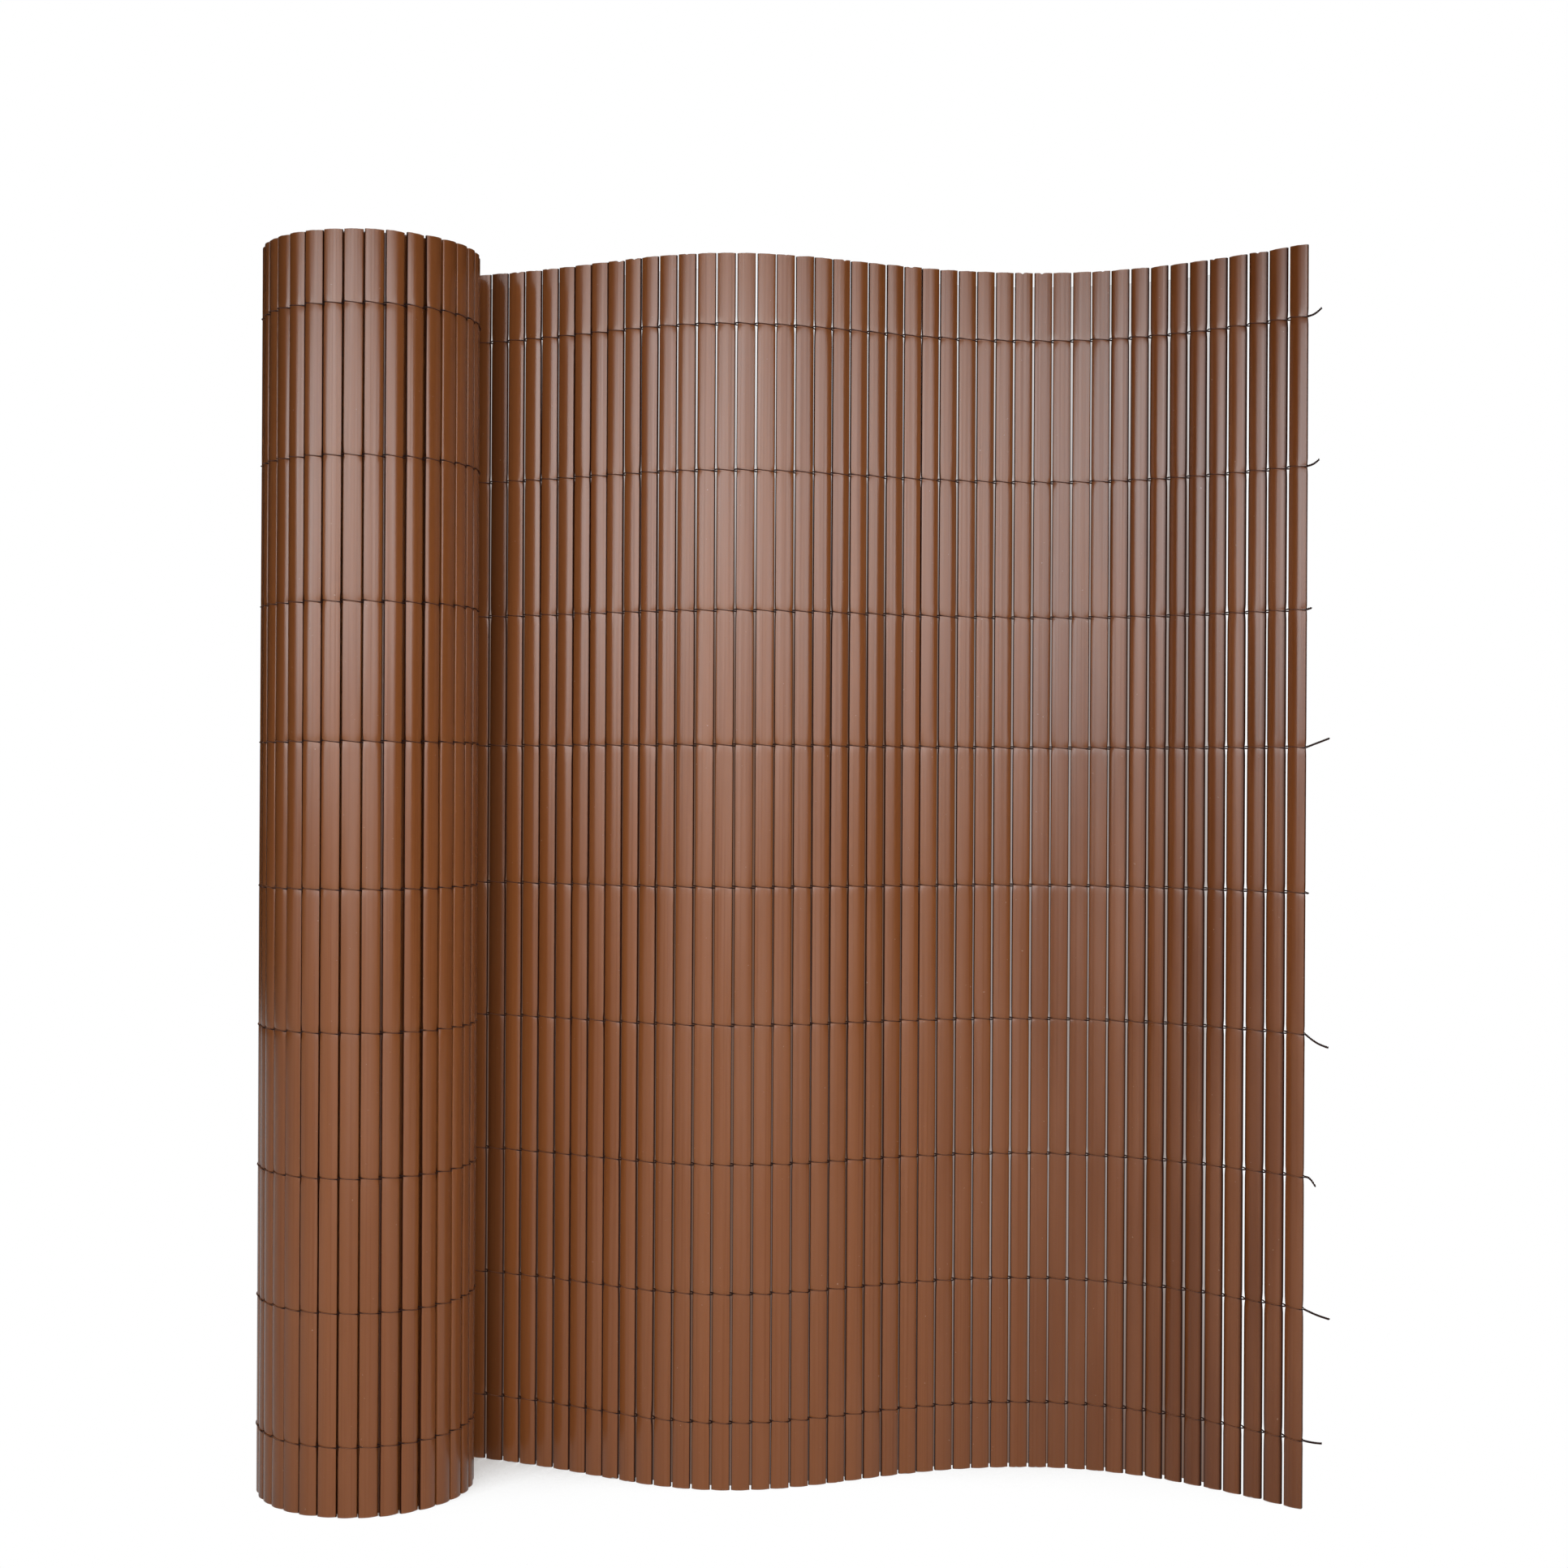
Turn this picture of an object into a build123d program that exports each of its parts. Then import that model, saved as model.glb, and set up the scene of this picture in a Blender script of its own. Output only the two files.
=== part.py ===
from build123d import *
import os
from math import cos, pi, radians, sin, sqrt

# A privacy screen mat of hollow plastic slats bound by rows of wire. It stands on the ends of its
# slats, with most of its length rolled up at the left and the rest unrolled in a wave to the right.
# Millimetres and degrees. X runs along the unrolled panel, Y away from the viewer, Z up.
# The origin is on the ground, in the middle of the mat's outline seen from above.

# Slats
slat_height = 900
slat_width = 13.3
slat_thickness = 5
crown_width = 4
face_rise = 0.8
edge_width = 1.4
edge_height = 1.8
slat_wall = 0.4
slat_web = 0.4
slat_gap = 1.2

# Unrolled panel: each bend gives the mat's heading after that many slats from the roll
panel_slats = 48
bends = [(0, -16), (11, -28), (24, 23), (48, -42)]
loose_slats = 10
loose_growth = 0.2

# Roll
rolled_slats = 157
core_radius = 27
turn_ridge = 0.7
roll_groove = 3.2

# Binding wire: rows counted from the ground, each with its drift from an even spacing
# and the reach and rise of the cut tail at the mat's free end
wire_size = 1.1
wire_clearance = 0.3
row_margin = 50
row_drifts = [-1, -7.5, -13.5, -12, -11.5, -8, -10, -8, -1.5]
tails = [(16, -2), (22, -7), (10, -6), (20, -9), (3, 0), (19, 5), (4, 1), (11, 3), (12, 5)]

# Sizes that follow
slat_pitch = slat_width + slat_gap
turn_pitch = slat_thickness + 2 * (wire_size + wire_clearance)
core_line = core_radius + slat_thickness / 2
roll_line = sqrt(core_line**2 + rolled_slats * slat_pitch * turn_pitch / pi)
leave_angle = 90 + bends[0][1]
outer_turn_slats = int(2 * pi * (roll_line - turn_pitch / 2) / slat_pitch)
row_pitch = (slat_height - 2 * row_margin) / (len(row_drifts) - 1)


def direction(angle):
    return Vector(cos(radians(angle)), sin(radians(angle)))


def heading_after(count):
    """Heading of the panel that many slats from the roll, swinging smoothly from bend to bend."""
    for (first, start), (last, end) in zip(bends, bends[1:]):
        if count <= last:
            swing = (1 - cos(pi * (count - first) / (last - first))) / 2
            return start + (end - start) * swing
    return bends[-1][1]


def roll_point(count, outward=0):
    """Point of the roll after that many slats from the core, outward of the slats' centre line."""
    radius = sqrt(core_line**2 + count * slat_pitch * turn_pitch / pi)
    angle = leave_angle + 360 * (roll_line - radius) / turn_pitch
    return direction(angle) * (radius + outward)


def strand_bends(centres, crests):
    """Bends of a strand that lies straight across each pair of slats, clear of the next pair."""
    pairs = list(zip(crests[::2], crests[1::2]))
    starts = [near * 1.5 - far * 0.5 for near, far in pairs]
    ends = [far * 1.5 - near * 0.5 for near, far in pairs]
    gaps = [(near + far) / 2 for near, far in zip(centres[1::2], centres[2::2])]
    between = [
        max(end, start, key=lambda point: (point - gap).length)
        for end, start, gap in zip(ends, starts[1:], gaps)
    ]
    return [*between, ends[-1]]


# Centre and heading of each slat of the panel, from the roll to the free end
panel = []
slat_side = roll_point(rolled_slats)
for number in range(1, panel_slats + 1):
    heading = heading_after(number - 0.5)
    step = slat_pitch + loose_growth * max(0, number - panel_slats + loose_slats)
    panel.append((slat_side + direction(heading) * step / 2, heading))
    slat_side += direction(heading) * step

# Slats that a binding wire passes, from the free end to the end of the roll's outer turn
centres = [centre for centre, heading in panel[::-1]]
normals = [direction(heading + 90) for centre, heading in panel[::-1]]
for count in range(rolled_slats, rolled_slats - outer_turn_slats, -1):
    centres.append((roll_point(count) + roll_point(count - 1)) / 2)
    normals.append(centres[-1].normalized())

# Route of a binding wire seen from above: along the front of the panel, round its last slat,
# back along its rear and once round the outside of the roll
strand_offset = slat_thickness / 2 + wire_clearance + wire_size / 2
end_centre, end_heading = panel[-1]
past_edge = direction(end_heading) * (slat_width / 2 + wire_clearance + wire_size / 2)
front_crests = [
    centre - normal * strand_offset for centre, normal in zip(centres[:panel_slats], normals)
]
back_crests = [centre + normal * strand_offset for centre, normal in zip(centres, normals)]
front_route = [front_crests[0] + past_edge, *strand_bends(centres, front_crests)]
back_route = [back_crests[0] + past_edge, *strand_bends(centres, back_crests)]
route = [*front_route[::-1], *back_route]
tail_root = end_centre + past_edge

# Middle of the outline, tails included
longest_tail = tail_root + direction(end_heading) * max(reach for reach, rise in tails)
outline = [*route, longest_tail]
middle = Vector(
    (min(point.X for point in outline) + max(point.X for point in outline)) / 2,
    (min(point.Y for point in outline) + max(point.Y for point in outline)) / 2,
)

os.makedirs("parts", exist_ok=True)

# Section of one slat: crowned faces, bevelled edges and two chambers beside a middle web
face_x = slat_width / 2 - edge_width
face_y = slat_thickness / 2 - face_rise
crowned_side = [
    (-slat_width / 2, edge_height / 2),
    (-face_x, face_y),
    (-crown_width / 2, slat_thickness / 2),
    (crown_width / 2, slat_thickness / 2),
    (face_x, face_y),
    (slat_width / 2, edge_height / 2),
]
chamber_x = slat_width / 2 - slat_wall
chamber_y = (edge_height - slat_wall) / 2
web_y = slat_thickness / 2 - slat_wall
with BuildSketch() as slat_section:
    with BuildLine():
        Polyline(*crowned_side, *[(-x, -y) for x, y in crowned_side], close=True)
    make_face()
    for side in (-1, 1):
        with BuildLine():
            Polyline(
                (side * slat_web / 2, -web_y),
                (side * chamber_x, -chamber_y),
                (side * chamber_x, chamber_y),
                (side * slat_web / 2, web_y),
                close=True,
            )
        make_face(mode=Mode.SUBTRACT)

# Panel slats, numbered from the roll to the free end
for number, (centre, heading) in enumerate(panel, start=1):
    with BuildPart() as slat:
        with BuildSketch(Plane(origin=centre - middle, x_dir=direction(heading))):
            add(slat_section.sketch)
        extrude(amount=slat_height)
    slat.part.label = f"slat_{number:02d}"
    export_step(slat.part, f"parts/slat_{number:02d}.step")

# Roll: one spiral band, ridged by the inner turns' slats, with the slats of the outer turn
# in full and grooved between them
outer_start = rolled_slats - outer_turn_slats
ridge_offset = slat_thickness / 2 - turn_ridge
groove_y = slat_thickness / 2 - roll_groove
outside = []
for count in range(outer_start):
    outside += [roll_point(count, ridge_offset), roll_point(count + 0.5, slat_thickness / 2)]
for count in range(outer_start, rolled_slats):
    near, far = roll_point(count), roll_point(count + 1)
    along = (far - near).normalized()
    outward = Vector(-along.Y, along.X)
    slat_line = [(-slat_width / 2, groove_y), *crowned_side, (slat_width / 2, groove_y)]
    outside += [(near + far) / 2 + along * x + outward * y for x, y in slat_line]
inside = [roll_point(count, -ridge_offset) for count in range(rolled_slats + 1)]
with BuildPart() as roll:
    with BuildSketch(Plane(origin=-middle)):
        with BuildLine():
            Polyline(*outside, *inside[::-1], close=True)
        make_face()
    extrude(amount=slat_height)
roll.part.label = "rolled_turns"
export_step(roll.part, "parts/rolled_turns.step")

# Binding wires, numbered from the ground up
for number, (drift, (reach, rise)) in enumerate(zip(row_drifts, tails), start=1):
    place = Vector(0, 0, row_margin + (number - 1) * row_pitch + drift) - middle
    with BuildPart() as wire:
        with BuildLine() as strands:
            Polyline(*[point + place for point in route])
        with BuildSketch(Plane(origin=strands.line @ 0, x_dir=(0, 0, 1), z_dir=strands.line % 0)):
            Rectangle(wire_size, wire_size)
        sweep(path=strands.line, transition=Transition.RIGHT)
        tail = direction(end_heading) * reach + Vector(0, 0, rise)
        with BuildSketch(Plane(origin=tail_root + place, z_dir=tail)):
            Rectangle(wire_size, wire_size)
        extrude(amount=tail.length)
    wire.part.label = f"binding_wire_{number}"
    export_step(wire.part, f"parts/binding_wire_{number}.step")
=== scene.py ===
from math import cos, pi, radians, sin, sqrt

import bmesh
import bpy
import numpy as np
from mathutils import Matrix, Vector


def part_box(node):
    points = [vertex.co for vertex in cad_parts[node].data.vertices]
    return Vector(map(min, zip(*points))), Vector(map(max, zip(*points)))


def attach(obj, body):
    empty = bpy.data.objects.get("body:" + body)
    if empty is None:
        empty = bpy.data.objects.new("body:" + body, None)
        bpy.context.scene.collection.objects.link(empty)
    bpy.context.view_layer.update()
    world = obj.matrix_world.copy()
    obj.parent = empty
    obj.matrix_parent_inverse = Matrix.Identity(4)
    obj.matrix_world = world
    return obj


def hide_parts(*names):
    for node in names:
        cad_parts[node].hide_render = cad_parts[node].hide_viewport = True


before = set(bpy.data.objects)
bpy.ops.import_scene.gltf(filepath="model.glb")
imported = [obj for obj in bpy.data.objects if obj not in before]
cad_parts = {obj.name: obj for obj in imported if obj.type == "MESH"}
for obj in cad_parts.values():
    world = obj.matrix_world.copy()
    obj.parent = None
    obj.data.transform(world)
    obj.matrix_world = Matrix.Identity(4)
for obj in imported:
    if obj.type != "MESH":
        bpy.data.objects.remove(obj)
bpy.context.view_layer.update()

# A privacy screen mat that stands on edge: a roll of slats at the left, and the panel that comes
# off it in a wave to the right. Metres and degrees; X along the panel, Y away from the viewer.
mm = 0.001
upward = Vector((0, 0, 1))

# Slats: hollow, rounded and crowned, with chambers that close up a little way in
slat_height = 900 * mm
slat_width = 13.3 * mm
slat_thickness = 5 * mm
slat_wall = 0.45 * mm
slat_gap = 1.2 * mm
corner_round = 0.65 * mm
crown = 0.58
chamber_depth = 12 * mm
chamber_narrowing, chamber_flattening = 0.8, 0.5
sharp_angle = 50

# Where slats are cut across: heights from an end, and offsets from a wire row in millimetres
end_levels = [0, 1.2 * mm, 5 * mm]
panel_row_cuts = (-14, -6, -2.4, -0.9, 0, 0.9, 2.4, 6, 14)
roll_row_cuts = (-6, -0.9, 0, 0.9, 6)

# The mat's course, as the solids have it: each bend gives the heading after that many slats
panel_slats = 48
bends = [(0, -16), (11, -28), (24, 23), (48, -42)]
loose_slats = 10
loose_widening = 0.055
rolled_slats = 157
outer_turn_slats = 34
core_radius = 27 * mm
turn_pitch = 7.8 * mm
slat_pitch = slat_width + slat_gap
core_line = core_radius + slat_thickness / 2
roll_line = sqrt(core_line**2 + rolled_slats * slat_pitch * turn_pitch / pi)
leave_angle = 90 + bends[0][1]

# How far each slat leans out of the mat's course: the panel's slats from the roll on, and the
# roll's front slats by their count from the core
panel_leans = [
    *(0, 0, 0, 0, 0, -2, 2, 3, 0, 4, 6, 2, -1, -1, 1, -2, -2, -4, 1, -3, -6, -7, -6, -2),
    *(-1, 1, 2, -5, -3, 0, 1, 2, 4, 5, 5, -2, 1, 1, 1, -1, -7, -6, -3, -2, 2, 4, 4, 0),
]
front_leans = {133: 1, 134: 5, 135: 8, 136: 9, 137: 8, 138: 9, 139: 5, 140: 8, 141: 5, 142: 4, 143: 3}
other_lean = 2.5

# Play of a slat in its wires: twist as degrees and wave length, sway, and play to the side
panel_looseness, roll_looseness = 1.0, 0.8
twist_waves = [(0.7, 0.11), (0.45, 0.047)]
sway_depth = 0.16 * mm
side_play = 0.2

# How a wire row presses a slat's faces and edges, pinches its sides and twists it, in millimetres
# and degrees
face_press, edge_press, press_reach = 0.1, 0.22, 1.1
pinches, pinch_reach = (0.12, 0.42), 3.2
row_twist, row_twist_reach = 2.0, 8
edge_start, edge_blend = 2.5 * mm, 3 * mm

# Saw marks at the cut ends, in millimetres: a notch in some slats, ragged lines and a slant
end_skin = 0.1 * mm
notch_places, notch_widths, notch_depths = (-4, 4), (0.6, 1.2), (0.5, 1.3)
notched_share, faint_notch = 0.3, 0.1
ragged_depth, ragged_wave = 0.05, 0.9
slants = (0.05, 0.6)
foot_share = 0.8

# Width of the painted shade on a slat's side edges: in the panel, at its loose end, on its last slat,
# on the roll's front and on the rest of the roll
panel_rim, loose_rim, last_rim = 0.55 * mm, 0.85 * mm, 0.2 * mm
front_rim, roll_rim = 0.35 * mm, 0.05 * mm
rim_blend = 0.35 * mm
roll_front = range(134, 142)
# The slat beside the roll takes painted shade over its whole face, for the roll's shadow
shaded_slat, shaded_edge = 5, 0.45

# Tone of a slat: by chance from 0 to 1, lighter in the panel, and darkened by painted shade falling
# towards its free end
tone_limits = (-3, 1.4)
panel_tone, painted_shade_fall = 0.4, 3
fall_start, fall_slats = 27, 16
roll_seed, panel_tone_seed, roll_tone_seed = 500, 1000, 2000

# Binding wire: its rows, and the reach, rise and bow of each row's cut tail in millimetres
row_heights = [z * mm for z in (49, 142.5, 236.5, 338, 438.5, 542, 640, 742, 848.5)]
tails = [
    *((15.5, 0.8, -0.4), (21, -4, -0.6), (9.6, -5.8, 2), (19, -8.2, -1.4), (3, -0.5, 0)),
    *((18.6, 6, 0), (4.2, 0.8, 0), (9.6, 3.7, -0.8), (11, 4.4, -1)),
]
strand_radius = 0.45 * mm
strand_sink = 0.12 * mm
knot_rise = 0.75 * mm
tail_twist = 2.4 * mm
tail_start = 0.9 * mm
steps_per_twist, fewest_steps = 6, 4
knot_start, knot_blend = 4.4 * mm, 1.8 * mm

# Where a strand crosses a slat, in millimetres from its middle, with its share of the radius there
strand_crossing = [(5.9, 1), (3.6, 0.85), (0, 0.85), (-3.6, 0.85), (-5.9, 1)]
gap_share = 1.25

# Colours
dark_brown, light_brown = (0.116, 0.033, 0.0075), (0.2216, 0.0726, 0.0207)
cloud_brown, line_brown = (0.225, 0.08, 0.028), (0.12, 0.035, 0.011)
# The edge brown is painted shade on the slats' side edges and in their chambers
speck_tan, cut_end_brown, painted_edge_brown = (0.55, 0.4, 0.3), (0.26, 0.12, 0.065), (0.035, 0.01, 0.004)
lacquer_brown, rubbed_brown = (0.04, 0.013, 0.008), (0.075, 0.024, 0.012)
# The upper side brown is painted light on the wire's upper side, and the knot brown is painted shade at
# its knots
painted_upper_light, knot_shade_brown = (0.19, 0.075, 0.036), (0.018, 0.006, 0.004)
# Painted shade: the gap shade glows on the sheet behind the panel, the foot shade on the paper at the
# mat's foot
gap_shade, foot_shade = (0.162, 0.09, 0.06), (0.17, 0.125, 0.1)
paper_white, cloth_black, card_blue = (0.8, 0.8, 0.8), (0.02, 0.02, 0.02), (0.88, 0.95, 1)
white = (1, 1, 1)


def direction(angle):
    return Vector((cos(radians(angle)), sin(radians(angle)), 0))


def rear_of(along):
    """Direction out of the rear face of a slat."""
    return Vector((-along.y, along.x, 0))


def heading_after(count):
    """Heading of the panel that many slats from the roll."""
    for (first, start), (last, end) in zip(bends, bends[1:]):
        if count <= last:
            swing = (1 - cos(pi * (count - first) / (last - first))) / 2
            return start + (end - start) * swing
    return bends[-1][1]


def roll_point(count):
    """Point of the roll's centre line after that many slats from the core."""
    radius = sqrt(core_line**2 + count * slat_pitch * turn_pitch / pi)
    angle = leave_angle + 360 * (roll_line - radius) / turn_pitch
    return direction(angle) * radius


def node_middle(node):
    low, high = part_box(node)
    return Vector(((low.x + high.x) / 2, (low.y + high.y) / 2, 0))


# Where each slat stands: its centre and the direction along the mat, from the roll to the free end
panel_places = [
    (node_middle(f"slat_{number:02d}"), direction(heading_after(number - 0.5) + lean))
    for number, lean in enumerate(panel_leans, start=1)
]
first_centre, first_along = panel_places[0]
roll_axis = first_centre - first_along * slat_pitch / 2 - roll_point(rolled_slats)
roll_places = []
for count in range(rolled_slats):
    near, far = roll_point(count), roll_point(count + 1)
    lean = front_leans.get(count, other_lean * sin(5 * count))
    along = Matrix.Rotation(radians(lean), 3, "Z") @ (far - near).normalized()
    roll_places.append((roll_axis + (near + far) / 2, along))

# Slats that a wire row binds, from the free end back round the roll's outer turn
bound_places = panel_places[::-1] + roll_places[: -outer_turn_slats - 1 : -1]


def vertices_in(geom):
    return [item for item in geom if isinstance(item, bmesh.types.BMVert)]


def half_thickness(x):
    """Half the thickness of a slat, that far from the middle of its width."""
    inset = max(0, abs(x) - (slat_width / 2 - corner_round))
    square = slat_thickness / 2 - corner_round + sqrt(max(0, corner_round**2 - inset**2))
    return square * (1 - crown * (2 * x / slat_width) ** 2)


def slat_blank(name, corner_segments, face_cuts, levels):
    """A hollow slat that stands at the origin: rounded, crowned, with a web, cut across at the levels."""
    bm = bmesh.new()
    bmesh.ops.create_grid(bm, x_segments=2, y_segments=1, size=0.5)
    bmesh.ops.scale(bm, vec=(slat_width, slat_thickness, 1), verts=bm.verts)
    corners = [v for v in bm.verts if abs(v.co.x) > slat_width / 4]
    bmesh.ops.bevel(
        bm,
        geom=corners,
        offset=corner_round,
        offset_type="OFFSET",
        segments=corner_segments,
        profile=0.5,
        affect="VERTICES",
        material=-1,
    )
    face_edges = [e for e in bm.edges if e.is_boundary and e.calc_length() > slat_width / 4]
    bmesh.ops.subdivide_edges(bm, edges=face_edges, cuts=face_cuts)
    across = [e for e in bm.edges if not e.is_boundary and abs(e.verts[0].co.x) > slat_wall / 2]
    bmesh.ops.dissolve_edges(bm, edges=across, use_verts=False)
    for v in bm.verts:
        v.co.y *= 1 - crown * (2 * v.co.x / slat_width) ** 2

    chamber = bm.verts.layers.int.new("chamber")
    chamber_faces = bm.faces[:]
    bmesh.ops.inset_individual(bm, faces=chamber_faces, thickness=slat_wall, use_even_offset=True)
    for face in chamber_faces:
        for v in face.verts:
            v[chamber] = 1
            if abs(v.co.x) < slat_wall * 1.5:
                v.co.x /= 2
    bmesh.ops.delete(bm, geom=chamber_faces, context="FACES_ONLY")
    raised = bmesh.ops.extrude_face_region(bm, geom=bm.faces[:])
    bmesh.ops.translate(bm, vec=upward * slat_height, verts=vertices_in(raised["geom"]))
    uprights = [e for e in bm.edges if abs(e.verts[0].co.z - e.verts[1].co.z) > slat_height / 2]
    skin_edges = [e for e in uprights if not e.verts[0][chamber]]
    chamber_edges = [e for e in uprights if e.verts[0][chamber]]
    steps = len(levels) - 1
    bmesh.ops.subdivide_edges(bm, edges=skin_edges, cuts=steps - 1, use_grid_fill=True)
    for v in bm.verts:
        v.co.z = levels[round(v.co.z / slat_height * steps)]
    inner = bmesh.ops.subdivide_edges(bm, edges=chamber_edges, cuts=2, use_grid_fill=True)
    for v in vertices_in(inner["geom_inner"]):
        v[chamber] = 1
        depth = chamber_depth if v.co.z < slat_height / 2 else slat_height - chamber_depth
        v.co = (v.co.x * chamber_narrowing, v.co.y * chamber_flattening, depth)
    bmesh.ops.recalc_face_normals(bm, faces=bm.faces)
    mesh = bpy.data.meshes.new(name)
    bm.to_mesh(mesh)
    bm.free()
    return mesh


def levels_with(around_row):
    """Heights where a slat is cut across: its ends, around each wire row and between the rows."""
    heights = end_levels + [slat_height - end for end in end_levels]
    heights += [row + offset * mm for row in row_heights for offset in around_row]
    heights += [(low + high) / 2 for low, high in zip(row_heights, row_heights[1:])]
    return sorted(heights)


def point_values(mesh):
    points = np.empty(len(mesh.vertices) * 3)
    mesh.vertices.foreach_get("co", points)
    return points.reshape(-1, 3)


def chamber_values(blank):
    """1 for each point of a blank's chambers, and 0 for its skin."""
    chambers = np.empty(len(blank.vertices), dtype=int)
    blank.attributes["chamber"].data.foreach_get("value", chambers)
    return chambers


def fading(offset, reach):
    """1 where the offset is 0, fading within the reach."""
    return np.exp(-((offset / reach) ** 2))


def shaped_slat(blank, place, seed, looseness, widening):
    """Points of one slat in its place: pressed by the wires, a little twisted, with rough cut ends."""
    chance = np.random.default_rng(seed)
    x, y, z = point_values(blank).T.copy()
    skin = 1 - chamber_values(blank)
    edge = np.clip((np.abs(x) - edge_start) / edge_blend, 0, 1)

    def phase():
        return chance.uniform(0, 6)

    twist = np.zeros(len(z))
    for turn, wave in twist_waves:
        twist += radians(turn) * looseness * np.sin(z / wave + phase())
    press = face_press + edge_press * edge
    for row in row_heights:
        off = (z - row) / mm
        y -= np.sign(y) * skin * fading(off, press_reach) * press * mm
        x -= np.sign(x) * skin * fading(off, pinch_reach) * edge * chance.uniform(*pinches) * mm
        twist += chance.normal(0, radians(row_twist) * looseness) * fading(off, row_twist_reach)
    sway = chance.normal(0, sway_depth) * np.sin(z / slat_height * pi * 2 + phase())

    notch_place, notch_width = chance.uniform(*notch_places) * mm, chance.uniform(*notch_widths) * mm
    notch_depth = chance.uniform(*notch_depths) if chance.random() < notched_share else faint_notch
    notch = notch_depth * fading(x - notch_place, notch_width)
    ragged = ragged_depth + ragged_depth * np.sin(x / (ragged_wave * mm) + phase())
    slant = chance.uniform(*slants) * (0.5 + chance.choice([-1, 1]) * x / slat_width)
    bite = (notch + ragged + slant) * mm
    z = np.where(z > slat_height - end_skin, z - bite, z)
    z = np.where(z < end_skin, z + bite * foot_share, z)

    centre, along = place
    x = x * widening + chance.uniform(-side_play, side_play) * mm
    turned_x = x * np.cos(twist) - (y + sway) * np.sin(twist)
    turned_y = x * np.sin(twist) + (y + sway) * np.cos(twist)
    placed_x = centre.x + along.x * turned_x - along.y * turned_y
    placed_y = centre.y + along.y * turned_x + along.x * turned_y
    return np.column_stack([placed_x, placed_y, z])


def add_values(mesh, name, values):
    """Keeps a value on each point: a slat's tone with its painted shade, its painted edge shade, or the
    painted shade near a knot.
    """
    attribute = mesh.attributes.new(name, "FLOAT", "POINT")
    attribute.data.foreach_set("value", np.asarray(values, dtype=np.float32))


def edge_shade_share(blank, rim_width):
    """Painted shade: 0 on a slat's broad faces and 1 on its narrow side edges and inside its chambers."""
    edge_shading = (np.abs(point_values(blank)[:, 0]) - (slat_width / 2 - rim_width)) / rim_blend
    return np.maximum(np.clip(edge_shading, 0, 1), chamber_values(blank))


def finish_piece(name, mesh, material, slot, *nodes):
    mesh.materials.clear()
    mesh.materials.append(material)
    piece = bpy.data.objects.new(name, mesh)
    bpy.context.scene.collection.objects.link(piece)
    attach(piece, "root")
    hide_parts(*nodes)


def smooth_skin(mesh):
    mesh.polygons.foreach_set("use_smooth", [True] * len(mesh.polygons))
    mesh.set_sharp_from_angle(angle=radians(sharp_angle))


def feed(tree, socket, value):
    """Links a socket to another one, or sets it to a plain value or colour."""
    if isinstance(value, bpy.types.NodeSocket):
        tree.links.new(value, socket)
    elif socket.type == "RGBA":
        socket.default_value = (*value, 1)
    else:
        socket.default_value = value


def placed_node(tree, kind, inputs):
    node = tree.nodes.new(kind)
    for name, value in inputs.items():
        feed(tree, node.inputs[name], value)
    return node


def new_material(name):
    material = bpy.data.materials.new(name)
    material.use_nodes = True
    return material, material.node_tree


def set_shader(tree, inputs):
    """Sets or links the inputs of a material's Principled shader."""
    shader = tree.nodes["Principled BSDF"]
    for name, value in inputs.items():
        feed(tree, shader.inputs[name], value)
    return shader.outputs["BSDF"]


def object_place(tree):
    """A point's X, Y and Z in Object coordinates."""
    place = tree.nodes.new("ShaderNodeTexCoord").outputs["Object"]
    return placed_node(tree, "ShaderNodeSeparateXYZ", {"Vector": place}).outputs


def point_attribute(tree, name):
    attribute = tree.nodes.new("ShaderNodeAttribute")
    attribute.attribute_name = name
    return attribute.outputs["Fac"]


def combined(tree, operation, *values):
    node = placed_node(tree, "ShaderNodeMath", dict(enumerate(values)))
    node.operation = operation
    return node.outputs["Value"]


def mapped(tree, value, limits, results):
    """A value brought from one pair of limits to another."""
    inputs = {"From Min": limits[0], "From Max": limits[1], "To Min": results[0], "To Max": results[1]}
    return placed_node(tree, "ShaderNodeMapRange", {"Value": value, **inputs}).outputs["Result"]


def smooth_step(tree, value, limits, results=(0, 1)):
    step = mapped(tree, value, limits, results)
    step.node.interpolation_type = "SMOOTHSTEP"
    return step


def ramp_between(tree, value, limits, dark, light):
    """Mixes two colours by a value that runs between two limits."""
    mix = placed_node(tree, "ShaderNodeMix", {"Factor": mapped(tree, value, limits, (0, 1))})
    mix.data_type = "RGBA"
    for socket, colour in zip([s for s in mix.inputs if s.type == "RGBA"], (dark, light)):
        feed(tree, socket, colour)
    return next(s for s in mix.outputs if s.type == "RGBA")


def mixed_shader(tree, share, first, second):
    inputs = {"Fac": share, 1: first, 2: second}
    return placed_node(tree, "ShaderNodeMixShader", inputs).outputs["Shader"]


def noise(tree, place, stretch, inputs):
    """Cloudy noise, drawn out along the slats where the stretch is under 1."""
    drawn = placed_node(tree, "ShaderNodeMapping", {"Vector": place, "Scale": (1, 1, stretch)})
    inputs = {"Vector": drawn.outputs["Vector"], **inputs}
    return placed_node(tree, "ShaderNodeTexNoise", inputs).outputs["Fac"]


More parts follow.
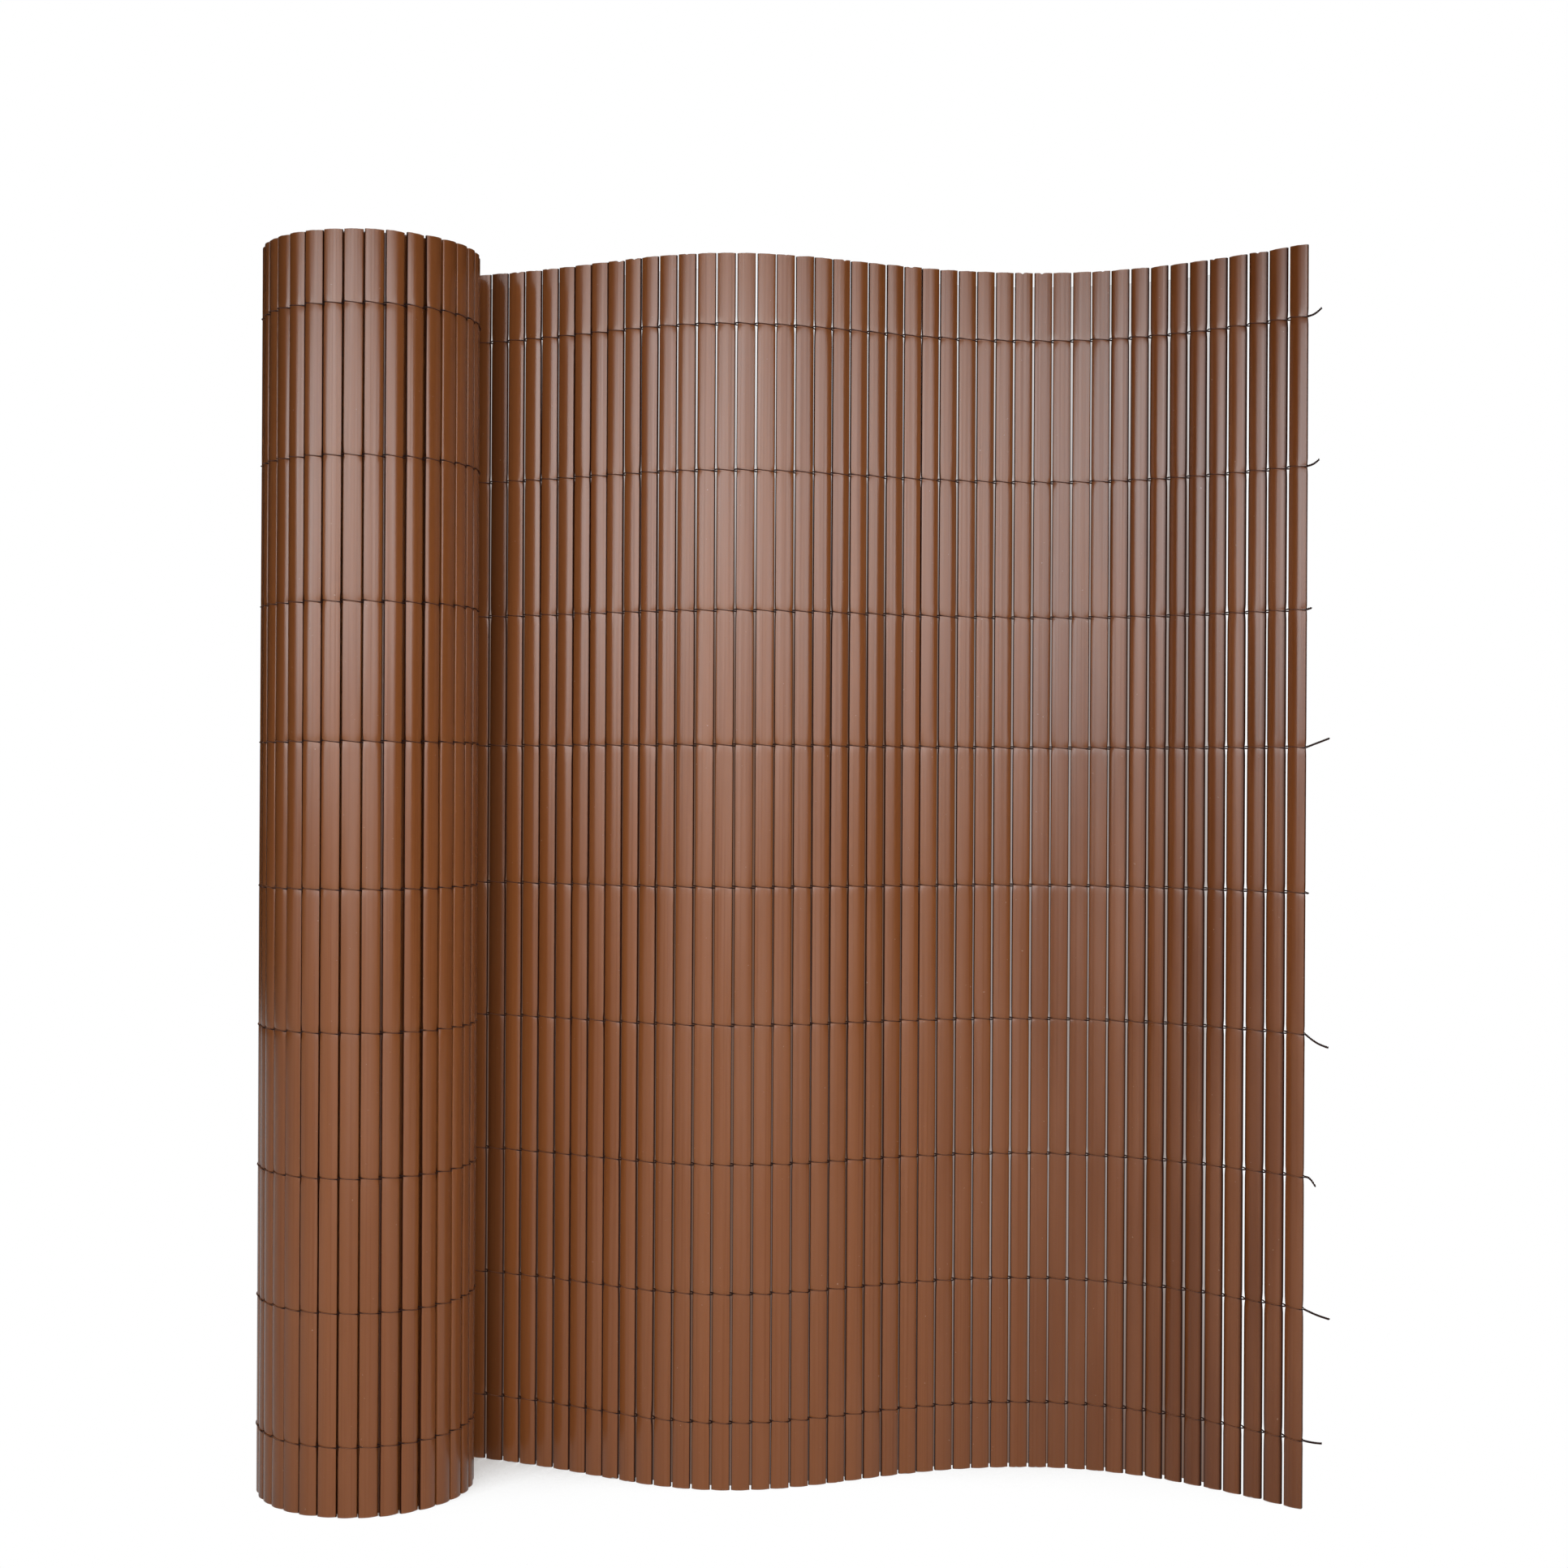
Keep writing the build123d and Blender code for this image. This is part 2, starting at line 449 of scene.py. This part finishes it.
def wear_group():
    """Lengthwise drawing lines, cloudy patches and sparse pale specks, for plastic and lacquer."""
    group = bpy.data.node_groups.new("drawn_surface", "ShaderNodeTree")
    for name, in_out in (
        ("Line Scale", "INPUT"),
        ("Cloud Scale", "INPUT"),
        ("Lines", "OUTPUT"),
        ("Clouds", "OUTPUT"),
        ("Specks", "OUTPUT"),
    ):
        group.interface.new_socket(name, in_out=in_out, socket_type="NodeSocketFloat")
    scales = group.nodes.new("NodeGroupInput").outputs
    place = group.nodes.new("ShaderNodeTexCoord").outputs["Object"]
    lines = noise(group, place, 0.004, {"Scale": scales["Line Scale"], "Detail": 3, "Roughness": 0.6})
    clouds = noise(group, place, 0.25, {"Scale": scales["Cloud Scale"], "Detail": 4})
    specks = noise(group, place, 1, {"Scale": 420, "Detail": 1})
    rare = mapped(group, specks, (0.78, 0.86), (0, 1))
    placed_node(group, "NodeGroupOutput", {"Lines": lines, "Clouds": clouds, "Specks": rare})
    return group


def placed_group(tree, group, line_scale, cloud_scale):
    node = tree.nodes.new("ShaderNodeGroup")
    node.node_tree = group
    feed(tree, node.inputs["Line Scale"], line_scale)
    feed(tree, node.inputs["Cloud Scale"], cloud_scale)
    return node.outputs


def slat_plastic(group):
    """Satin brown plastic, drawn lengthwise, with its own tone on each slat, paler cut ends, and painted
    shade on the side edges, in the chambers and towards the panel's free end.
    """
    material, tree = new_material("slat_plastic_brown")
    surface = placed_group(tree, group, 750, 26)
    edge_shading = point_attribute(tree, "slat_edge_shade")

    brown = ramp_between(tree, point_attribute(tree, "slat_tone"), tone_limits, dark_brown, light_brown)
    brown = ramp_between(tree, surface["Clouds"], (0.4, 1.2), brown, cloud_brown)
    brown = ramp_between(tree, surface["Lines"], (0.52, 1.1), brown, line_brown)
    brown = ramp_between(tree, surface["Specks"], (0, 3.5), brown, speck_tan)
    middle = slat_height / 2
    to_end = combined(tree, "ABSOLUTE", combined(tree, "SUBTRACT", object_place(tree)["Z"], middle))
    brown = ramp_between(tree, to_end, (middle - 1 * mm, middle), brown, cut_end_brown)
    # Painted shade on the side edges and in the chambers
    brown = ramp_between(tree, edge_shading, (0, 1), brown, painted_edge_brown)

    streaks = mapped(tree, surface["Lines"], (0.35, 0.65), (0.6, 0.4))
    drawn = placed_node(
        tree,
        "ShaderNodeBump",
        {"Strength": 0.8, "Distance": 0.08 * mm, "Height": surface["Lines"]},
    )
    set_shader(
        tree,
        {
            "Base Color": brown,
            "Roughness": mapped(tree, surface["Clouds"], (0.3, 0.7), (0.17, 0.23)),
            "IOR": 1.5,
            "Specular IOR Level": mapped(tree, edge_shading, (0, 1), (streaks, 0.05)),
            "Normal": drawn.outputs["Normal"],
        },
    )
    return material


def wire_lacquer(group):
    """Brown lacquered steel wire, rubbed here and there, with painted light on its upper side and painted
    shade at the knots in the gaps.
    """
    material, tree = new_material("binding_wire_lacquer")
    surface = placed_group(tree, group, 300, 160)
    facing = tree.nodes.new("ShaderNodeNewGeometry").outputs["Normal"]
    facing_up = placed_node(tree, "ShaderNodeSeparateXYZ", {"Vector": facing}).outputs["Z"]
    brown = ramp_between(tree, surface["Clouds"], (0.45, 0.75), lacquer_brown, rubbed_brown)
    # Painted light: paler where the wire faces up
    brown = ramp_between(tree, facing_up, (-0.25, 0.5), brown, painted_upper_light)
    # Painted shade at the knots, where the strands cross in the gaps
    brown = ramp_between(tree, point_attribute(tree, "wire_knot_shade"), (0, 1), brown, knot_shade_brown)
    gloss = mapped(tree, surface["Clouds"], (0, 1), (0.45, 0.65))
    set_shader(tree, {"Base Color": brown, "Roughness": gloss, "Specular IOR Level": 0.15})
    return material


surface_group = wear_group()
plastic = slat_plastic(surface_group)
lacquer = wire_lacquer(surface_group)

# Panel slats, each in place of its own solid
panel_blank = slat_blank("panel_blank", 4, 3, levels_with(panel_row_cuts))
for number, place in enumerate(panel_places, start=1):
    mesh = panel_blank.copy()
    mesh.name = f"panel_slat_{number:02d}"
    loose = max(0, number - panel_slats + loose_slats) / loose_slats
    points = shaped_slat(panel_blank, place, number, panel_looseness, 1 + loose_widening * loose)
    mesh.vertices.foreach_set("co", points.ravel())
    # Painted shade: the slats grow darker towards the panel's free end
    fall = min(1, max(0, (number - fall_start) / fall_slats))
    tone = np.random.default_rng(panel_tone_seed + number).uniform(0, 1) + panel_tone - painted_shade_fall * fall
    add_values(mesh, "slat_tone", np.full(len(points), tone))
    # Painted shade on the side edges and in the chambers, and over all of the slat beside the roll
    rim_width = last_rim if number == panel_slats else loose_rim if loose else panel_rim
    edges = edge_shade_share(panel_blank, rim_width)
    add_values(mesh, "slat_edge_shade", np.maximum(edges, shaded_edge) if number == shaded_slat else edges)
    smooth_skin(mesh)
    finish_piece(mesh.name, mesh, plastic, "slat_plastic", f"slat_{number:02d}")

# Rolled slats: the outer turn as the panel's, the turns inside it plain
outer_blank = slat_blank("outer_turn_blank", 3, 2, levels_with(roll_row_cuts))
inner_blank = slat_blank("inner_turn_blank", 2, 0, [0, slat_height])
roll = bmesh.new()
roll_tones, roll_edge_shades = [], []
for count, place in enumerate(roll_places):
    outer = count >= rolled_slats - outer_turn_slats - 1
    blank = outer_blank if outer else inner_blank
    points = shaped_slat(blank, place, roll_seed + count, roll_looseness, 1)
    standing = blank.copy()
    standing.vertices.foreach_set("co", points.ravel())
    roll.from_mesh(standing)
    roll_tones += [np.random.default_rng(roll_tone_seed + count).uniform(0, 1)] * len(points)
    # Painted shade on the roll's side edges and in its chambers
    roll_edge_shades += list(edge_shade_share(blank, front_rim if count in roll_front else roll_rim))
    bpy.data.meshes.remove(standing)
roll_mesh = bpy.data.meshes.new("rolled_slats")
roll.to_mesh(roll_mesh)
roll.free()
add_values(roll_mesh, "slat_tone", roll_tones)
add_values(roll_mesh, "slat_edge_shade", roll_edge_shades)
smooth_skin(roll_mesh)
finish_piece("rolled_slats", roll_mesh, plastic, "slat_plastic", "rolled_turns")
for blank in (panel_blank, outer_blank, inner_blank):
    bpy.data.meshes.remove(blank)


def strand_route(height, first_side):
    """One of a row's two strands: over and under the slats in turn, crossing the other in each gap."""
    route = []
    for index, (centre, along) in enumerate(bound_places):
        side = first_side * (-1) ** index
        for reach, share in strand_crossing:
            lift = half_thickness(reach * mm) + strand_radius - strand_sink
            climb = side * knot_rise * reach * mm / (slat_pitch / 2)
            off_middle = along * reach * mm + rear_of(along) * side * lift
            route.append((centre + off_middle + upward * (height + climb), share))
        if index + 1 < len(bound_places):
            next_centre, next_along = bound_places[index + 1]
            gap = (centre - along * slat_width / 2 + next_centre + next_along * slat_width / 2) / 2
            route.append((gap + upward * (height - side * knot_rise), gap_share))
    return route


def tail_route(height, reach, rise, bow, first_side):
    """The same strand's part of the cut tail, from its tip to the mat's edge, twisted with the other."""
    centre, along = panel_places[-1]
    root = centre + along * (slat_width / 2 + tail_start) + upward * height
    length = reach * mm - tail_start
    steps = max(fewest_steps, round(steps_per_twist * length / tail_twist))
    route = []
    for step in range(steps, -1, -1):
        share = step / steps
        turn = 2 * pi * share * length / tail_twist + (pi / 2) * first_side
        climb = (rise * share + bow * sin(pi * share)) * mm
        middle = root + along * length * share + upward * climb
        around = rear_of(along) * cos(turn) + upward * sin(turn)
        route.append((middle + around * strand_radius, 1))
    return route


def wire_row(number, height, tail):
    """Two strands of wire twisted together in every gap, with their cut tail."""
    curve = bpy.data.curves.new(f"wire_row_{number}", "CURVE")
    curve.dimensions = "3D"
    curve.bevel_depth = strand_radius
    curve.bevel_resolution = 1
    curve.use_fill_caps = True
    for first_side in (-1, 1):
        route = tail_route(height, *tail, first_side) + strand_route(height, first_side)
        spline = curve.splines.new("POLY")
        spline.points.add(len(route) - 1)
        for point, (place, share) in zip(spline.points, route):
            point.co, point.radius = (*place, 1), share
    holder = bpy.data.objects.new(curve.name, curve)
    bpy.context.scene.collection.objects.link(holder)
    bpy.context.view_layer.update()
    seen = holder.evaluated_get(bpy.context.evaluated_depsgraph_get())
    mesh = bpy.data.meshes.new_from_object(seen)
    bpy.data.objects.remove(holder)
    bpy.data.curves.remove(curve)
    mesh.name = f"wire_row_{number}"
    mesh.polygons.foreach_set("use_smooth", [True] * len(mesh.polygons))
    # Painted shade at the knots: 1 in the gaps, away from the slats' middles
    centres = np.array([centre for centre, along in bound_places])
    apart = np.linalg.norm(point_values(mesh)[:, None, :2] - centres[:, :2], axis=2).min(axis=1)
    add_values(mesh, "wire_knot_shade", np.clip((apart - knot_start) / knot_blend, 0, 1))
    finish_piece(mesh.name, mesh, lacquer, "binding_wire", f"binding_wire_{number}")


for number, (height, tail) in enumerate(zip(row_heights, tails), start=1):
    wire_row(number, height, tail)

# Studio: white paper on the floor and up behind the mat, with a painted soft shadow at the mat's foot, and
# a sheet of painted shade close behind the panel
paper_back, paper_curve, paper_reach = 0.11, 0.15, 4
contact_reach, contact_limits = 0.25, (0.05, 0.4)
shade_sheet_offset = 8 * mm
shade_sheet_foot, shade_sheet_top = 0.2 * mm, slat_height - 8.8 * mm
shade_sheet_places = panel_places[3:45:2]
far_gloss = 0.55

# How far the sheet of painted shade lets the paper be seen: upwards, near the roll and beyond the crest,
# and then in the looser gaps towards the free end, as the start and end of each step and its most
open_heights, ground_heights = (0.56, 0.9), (-0.04, 0.22)
near_roll, near_roll_share = (-0.16, 0), 0.6
past_crest, past_crest_loss = (0.03, 0.15), 0.3
loose_gaps = [((0.07, 0.17), 0.24), ((0.27, 0.335), 0.62)]

# Dark flags around the mat, and the card in front of it that only gloss shows
flag_top = 2.6
flags = {
    "left_flag": [(-4.4, -2.15), (-2.2, 3.2)],
    "right_flag": [(2.9, -2.15), (2.2, 3.2)],
    "rear_flag": [(-2.2, 3.2), (2.2, 3.2)],
}
card_ends, card_foot, card_top = [(-3.4, -2.2), (2.7, -2.2)], 0.3, 1.5
card_heights, card_strengths = (0.3, 0.95), (0.8, 5.6)
card_right, card_right_loss = (-0.6, 0.1), 0.18
world_fill = 0.12


def seen_directly(tree):
    """A value of 1 for what the camera, a reflection or clear glass shows, and 0 for light."""
    path = tree.nodes.new("ShaderNodeLightPath").outputs
    seen = combined(tree, "MAXIMUM", path["Is Camera Ray"], path["Is Glossy Ray"])
    return combined(tree, "MAXIMUM", seen, path["Is Transmission Ray"])


def dimmer_in_gloss(tree):
    """A strength of 1 that falls to about half in reflections, as the room's far parts are."""
    path = tree.nodes.new("ShaderNodeLightPath").outputs
    return mapped(tree, path["Is Glossy Ray"], (0, 1), (1, far_gloss))


def one_sided(tree, shader):
    """The shader on a sheet's front, and nothing on its back."""
    facing = tree.nodes.new("ShaderNodeNewGeometry").outputs["Backfacing"]
    clear = tree.nodes.new("ShaderNodeBsdfTransparent").outputs["BSDF"]
    return mixed_shader(tree, facing, shader, clear)


def glow(tree, colour, strength):
    inputs = {"Color": colour, "Strength": strength}
    return placed_node(tree, "ShaderNodeEmission", inputs).outputs["Emission"]


def set_surface(tree, shader):
    tree.links.new(shader, tree.nodes["Material Output"].inputs["Surface"])


def studio_paper():
    """White paper with a painted soft shadow at the mat's foot, from ambient occlusion, seen from its
    front only.
    """
    material, tree = new_material("studio_paper")
    sheet = set_shader(tree, {"Base Color": paper_white, "Roughness": 0.9, "Specular IOR Level": 0})
    # Painted shadow: the paper glows darker where the mat shelters it
    shelter = placed_node(tree, "ShaderNodeAmbientOcclusion", {"Distance": contact_reach})
    shelter.samples = 8
    shadow = ramp_between(tree, shelter.outputs["AO"], contact_limits, foot_shade, white)
    lit = glow(tree, shadow, dimmer_in_gloss(tree))
    either = mixed_shader(tree, seen_directly(tree), sheet, lit)
    set_surface(tree, one_sided(tree, either))
    return material


def lit_share(tree):
    """1 where the gaps show open paper, and 0 low down near the roll, where the sheet paints the shade the
    mat casts on itself.
    """
    place = object_place(tree)
    across, up = place["X"], place["Z"]
    beyond_roll = smooth_step(tree, across, near_roll)
    open_side = combined(tree, "MULTIPLY_ADD", beyond_roll, 1 - near_roll_share, near_roll_share)
    beyond_crest = smooth_step(tree, across, past_crest)
    open_side = combined(tree, "MULTIPLY_ADD", beyond_crest, -past_crest_loss, open_side)
    share = combined(tree, "MULTIPLY", smooth_step(tree, up, open_heights), open_side)
    off_ground = smooth_step(tree, up, ground_heights)
    for limits, most in loose_gaps:
        loose = combined(tree, "MULTIPLY", smooth_step(tree, across, limits), most)
        share = combined(tree, "MAXIMUM", share, combined(tree, "MULTIPLY", loose, off_ground))
    return share


def painted_shade_sheet():
    """A glowing brown sheet of painted shade behind the mat, seen through the gaps, thinning out upwards
    and towards the free end.
    """
    material, tree = new_material("studio_painted_shade_sheet")
    tree.nodes.remove(tree.nodes["Principled BSDF"])
    clear = tree.nodes.new("ShaderNodeBsdfTransparent").outputs["BSDF"]
    thinned = mixed_shader(tree, lit_share(tree), glow(tree, gap_shade, 1), clear)
    set_surface(tree, one_sided(tree, thinned))
    return material


def flag_cloth():
    material, tree = new_material("studio_flag_cloth")
    set_shader(tree, {"Base Color": cloth_black, "Roughness": 1, "Specular IOR Level": 0})
    return material


def sheen_card():
    """A broad cool light that fades towards its foot and is a little weaker at the right."""
    material, tree = new_material("studio_sheen_card")
    tree.nodes.remove(tree.nodes["Principled BSDF"])
    place = object_place(tree)
    fade = smooth_step(tree, place["Z"], card_heights, card_strengths)
    right_side = smooth_step(tree, place["X"], card_right)
    weaker = combined(tree, "MULTIPLY_ADD", right_side, -card_right_loss, 1)
    set_surface(tree, glow(tree, card_blue, combined(tree, "MULTIPLY", fade, weaker)))
    return material


def stage_piece(name, bm, material):
    mesh = bpy.data.meshes.new(name)
    bm.to_mesh(mesh)
    bm.free()
    mesh.materials.append(material)
    piece = bpy.data.objects.new(name, mesh)
    bpy.context.scene.collection.objects.link(piece)
    return piece


def raise_edges(bm, edges, height):
    """Draws edges straight up into a wall."""
    raised = bmesh.ops.extrude_edge_only(bm, edges=edges)
    bmesh.ops.translate(bm, vec=upward * height, verts=vertices_in(raised["geom"]))


def upright_sheet(places, foot_height, top_height):
    """An upright sheet that stands along a row of places."""
    bm = bmesh.new()
    foot = [bm.verts.new((*place, foot_height)) for place in places]
    raise_edges(bm, [bm.edges.new(pair) for pair in zip(foot, foot[1:])], top_height - foot_height)
    return bm


def face_forward(bm, turned_away):
    """Turns round the faces that a test finds turned away."""
    bm.normal_update()
    bmesh.ops.reverse_faces(bm, faces=[face for face in bm.faces if turned_away(face.normal)])


paper = studio_paper()
floor = bmesh.new()
bmesh.ops.create_grid(floor, x_segments=1, y_segments=1, size=paper_reach)
stage_piece("studio_floor", floor, paper)

backdrop = bmesh.new()
ends = [backdrop.verts.new((x, paper_back, 0)) for x in (-paper_reach, paper_reach)]
foot = backdrop.edges.new(ends)
swept = bmesh.ops.spin(
    backdrop,
    geom=[foot, *ends],
    cent=(0, paper_back, paper_curve),
    axis=(1, 0, 0),
    angle=pi / 2,
    steps=8,
)
curve_top = [item for item in swept["geom_last"] if isinstance(item, bmesh.types.BMEdge)]
raise_edges(backdrop, curve_top, paper_reach)
face_forward(backdrop, lambda normal: normal.y > 0 or normal.z < -0.5)
backdrop_piece = stage_piece("studio_backdrop", backdrop, paper)
backdrop_piece.visible_shadow = False
backdrop_piece.visible_glossy = False

# The sheet of painted shade is for the camera only
shade_sheet_line = [(centre + rear_of(along) * shade_sheet_offset).xy for centre, along in shade_sheet_places]
shade_sheet = upright_sheet(shade_sheet_line, shade_sheet_foot, shade_sheet_top)
face_forward(shade_sheet, lambda normal: normal.y > 0)
shade_sheet_piece = stage_piece("studio_painted_shade_sheet", shade_sheet, painted_shade_sheet())
shade_sheet_piece.visible_shadow = False
shade_sheet_piece.visible_diffuse = False
shade_sheet_piece.visible_glossy = False
shade_sheet_piece.visible_transmission = False

# Dark cloths, unseen by the camera, that keep the mat's flanks from glaring
cloth = flag_cloth()
for name, places in flags.items():
    flag = stage_piece(name, upright_sheet(places, 0, flag_top), cloth)
    flag.visible_camera = False
    flag.visible_shadow = False


def soft_light(name, place, target, width, height, radiance):
    """A soft box: a rectangle that faces a point, of one brightness all over."""
    lamp = bpy.data.lights.new(name, "AREA")
    lamp.shape = "RECTANGLE"
    lamp.size, lamp.size_y = width, height
    lamp.energy = radiance * pi * width * height
    box = bpy.data.objects.new(name, lamp)
    box.location = place
    box.rotation_euler = (Vector(target) - Vector(place)).to_track_quat("-Z", "Y").to_euler()
    box.visible_camera = False
    box.visible_glossy = False
    bpy.context.scene.collection.objects.link(box)


soft_light("front_key", (0, -1.25, 0.34), (0, 0, 0.34), width=1.2, height=0.5, radiance=7.5)
soft_light("top_softbox", (0, -0.3, 2.7), (0, 0, 0), width=2.4, height=1.2, radiance=1.0)
soft_light("back_fill", (0.4, 3.0, 1.5), (0, 0, 0.45), width=2.4, height=1.6, radiance=7.0)

card_piece = stage_piece("studio_sheen_card", upright_sheet(card_ends, card_foot, card_top), sheen_card())
card_piece.visible_camera = False
card_piece.visible_diffuse = False
card_piece.visible_shadow = False

# World: a dim even fill, and white behind the mat
world = bpy.data.worlds.new("studio")
bpy.context.scene.world = world
world.use_nodes = True
sky = world.node_tree
fill = sky.nodes["Background"]
feed(sky, fill.inputs["Color"], white)
feed(sky, fill.inputs["Strength"], world_fill)
behind = placed_node(sky, "ShaderNodeBackground", {"Color": white, "Strength": dimmer_in_gloss(sky)})
chosen = mixed_shader(sky, seen_directly(sky), fill.outputs["Background"], behind.outputs["Background"])
sky.links.new(chosen, sky.nodes["World Output"].inputs["Surface"])

# Camera: a little above half the mat's height, and a little askew
sensor_width, focal_pixels, frame_pixels = 36, 2700, 1932
camera_offset = Vector((301.8 * mm, -1607 * mm, 513.8 * mm))
camera_tilt = -0.3
eye = bpy.data.cameras.new("photo_camera")
eye.lens = sensor_width * focal_pixels / frame_pixels
eye.sensor_width = sensor_width
eye.clip_end = 50
camera = bpy.data.objects.new("photo_camera", eye)
camera.location = roll_axis + camera_offset
camera.rotation_euler = (pi / 2, radians(camera_tilt), 0)
bpy.context.scene.collection.objects.link(camera)
bpy.context.scene.camera = camera
bpy.context.scene.view_settings.view_transform = "Standard"
